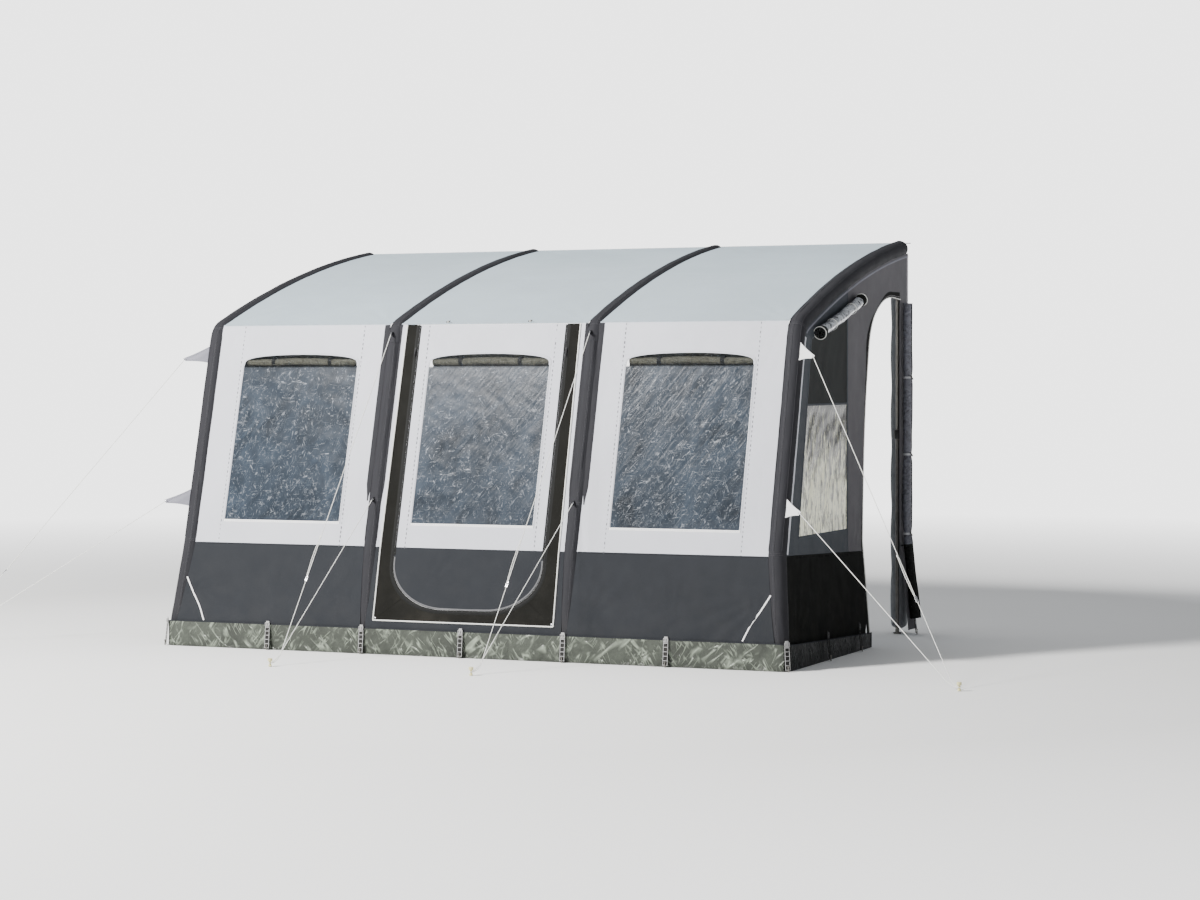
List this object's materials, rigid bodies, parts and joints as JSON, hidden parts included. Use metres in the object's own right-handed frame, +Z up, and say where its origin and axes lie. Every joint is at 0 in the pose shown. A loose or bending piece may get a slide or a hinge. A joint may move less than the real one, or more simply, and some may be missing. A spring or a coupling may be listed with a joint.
{
  "type": "caravan porch awning",
  "caption": "Inflatable porch awning for a caravan: arched air beams under a three-bay roof, windowed front with a lift-up door, side walls with doorways, mud wall, rear poles and guy lines.",
  "frame": {"origin": "on the ground under the middle of the awning, its guy lines left out", "axes": "+X to the right as seen from the front, +Y towards the caravan, +Z up"},
  "size_m": [6.412, 3.26, 2.415],
  "materials": {
    "beam_sleeve": "matt woven polyester sleeve over an air bladder",
    "roof_cloth": "matt coated polyester, light blue grey",
    "pale_cloth": "matt coated polyester, pale warm grey",
    "charcoal_cloth": "matt coated polyester, charcoal blue",
    "dark_band": "matt coated polyester, near black",
    "grey_cloth": "matt coated polyester, mid grey over black",
    "black_cloth": "matt coated polyester, black",
    "mud_sheet": "glossy wrinkled coated sheet, olive grey",
    "clear_pane": "clear flexible film, glossy and wrinkled",
    "blind_cloth": "rolled cloth, olive brown",
    "roll_cloth": "rolled coated cloth, slate",
    "keder": "pale welt tape with a round bead",
    "pad_cloth": "padded cloth, grey",
    "pole_metal": "bright tube",
    "small_metal": "bright metal",
    "black_plastic": "black moulded plastic",
    "cord": "braided cord, off white",
    "peg_plastic": "moulded plastic peg head, pale yellow",
    "strap_rubber": "silver grey ladder strap"
  },
  "bodies": {
    "awning": {"air_beam_1": "beam_sleeve", "air_beam_2": "beam_sleeve", "air_beam_3": "beam_sleeve", "air_beam_4": "beam_sleeve", "roof_panel_left": "roof_cloth", "roof_panel_centre": "roof_cloth", "roof_panel_right": "roof_cloth", "front_wall_left_upper": "pale_cloth", "front_wall_right_upper": "pale_cloth", "front_wall_left_lower": "charcoal_cloth", "front_wall_right_lower": "charcoal_cloth", "door_surround": "dark_band", "window_front_left": "clear_pane", "window_front_right": "clear_pane", "side_window_left": "clear_pane", "side_window_right": "clear_pane", "blind_roll_left": "blind_cloth", "blind_roll_right": "blind_cloth", "side_wall_left_upper": "grey_cloth", "side_wall_right_upper": "grey_cloth", "side_wall_left_lower": "black_cloth", "side_wall_right_lower": "black_cloth", "flap_roll_left": "roll_cloth", "flap_roll_right": "roll_cloth", "rolled_door_left": "roll_cloth", "rolled_door_right": "roll_cloth", "mud_wall": "mud_sheet", "rail_strip": "keder", "rear_pad_left": "pad_cloth", "rear_pad_right": "pad_cloth", "rear_pole_left_lower": "pole_metal", "rear_pole_right_lower": "pole_metal", "guy_cord_1": "cord", "guy_cord_2": "cord", "guy_cord_3": "cord", "guy_cord_4": "cord", "guy_peg_1": "peg_plastic", "guy_peg_2": "peg_plastic", "guy_peg_3": "peg_plastic", "guy_peg_4": "peg_plastic", "ladder_1": "strap_rubber", "ladder_2": "strap_rubber", "ladder_3": "strap_rubber", "ladder_4": "strap_rubber", "ladder_5": "strap_rubber", "ladder_6": "strap_rubber", "ladder_7": "strap_rubber"},
    "front_door": {"door_leaf_upper": "pale_cloth", "door_leaf_lower": "charcoal_cloth", "window_front_centre": "clear_pane", "blind_roll_centre": "blind_cloth"},
    "left_zip": {"zip_slider_left": "small_metal"},
    "right_zip": {"zip_slider_right": "small_metal"},
    "inflation_cap": {"valve_cap": "black_plastic"},
    "left_pole_top": {"rear_pole_left_upper": "pole_metal"},
    "right_pole_top": {"rear_pole_right_upper": "pole_metal"},
    "line_runner_1": {"runner_1": "small_metal"},
    "line_runner_2": {"runner_2": "small_metal"},
    "line_runner_3": {"runner_3": "small_metal"},
    "line_runner_4": {"runner_4": "small_metal"}
  },
  "joints": [
    {"name": "front_door_lift", "type": "hinge", "parent": "awning", "child": "front_door", "pos_m": [0, -0.77681, 1.886], "axis": [-1, 0, 0], "range_deg": [0, 80]},
    {"name": "left_zip_slide", "type": "slide", "parent": "awning", "child": "left_zip", "axis": [0, -0.2505, -0.9681], "range_m": [0, 1.08]},
    {"name": "right_zip_slide", "type": "slide", "parent": "awning", "child": "right_zip", "axis": [0, -0.2505, -0.9681], "range_m": [0, 1.08]},
    {"name": "inflation_cap_turn", "type": "hinge", "parent": "awning", "child": "inflation_cap", "pos_m": [1.8056, -1.11623, 0.36], "axis": [-1, 0, 0], "continuous": true},
    {"name": "left_pole_slide", "type": "slide", "parent": "awning", "child": "left_pole_top", "axis": [0, 0, 1], "range_m": [-0.45, 0]},
    {"name": "right_pole_slide", "type": "slide", "parent": "awning", "child": "right_pole_top", "axis": [0, 0, 1], "range_m": [-0.45, 0]},
    {"name": "line_runner_1_slide", "type": "slide", "parent": "awning", "child": "line_runner_1", "axis": [-0.5909, -0.2683, -0.7608], "range_m": [-0.15, 0.15]},
    {"name": "line_runner_2_slide", "type": "slide", "parent": "awning", "child": "line_runner_2", "axis": [-0.0569, -0.5234, -0.8502], "range_m": [-0.15, 0.15]},
    {"name": "line_runner_3_slide", "type": "slide", "parent": "awning", "child": "line_runner_3", "axis": [-0.0785, -0.5167, -0.8526], "range_m": [-0.15, 0.15]},
    {"name": "line_runner_4_slide", "type": "slide", "parent": "awning", "child": "line_runner_4", "axis": [0.4813, -0.3547, -0.8016], "range_m": [-0.15, 0.15]}
  ]
}
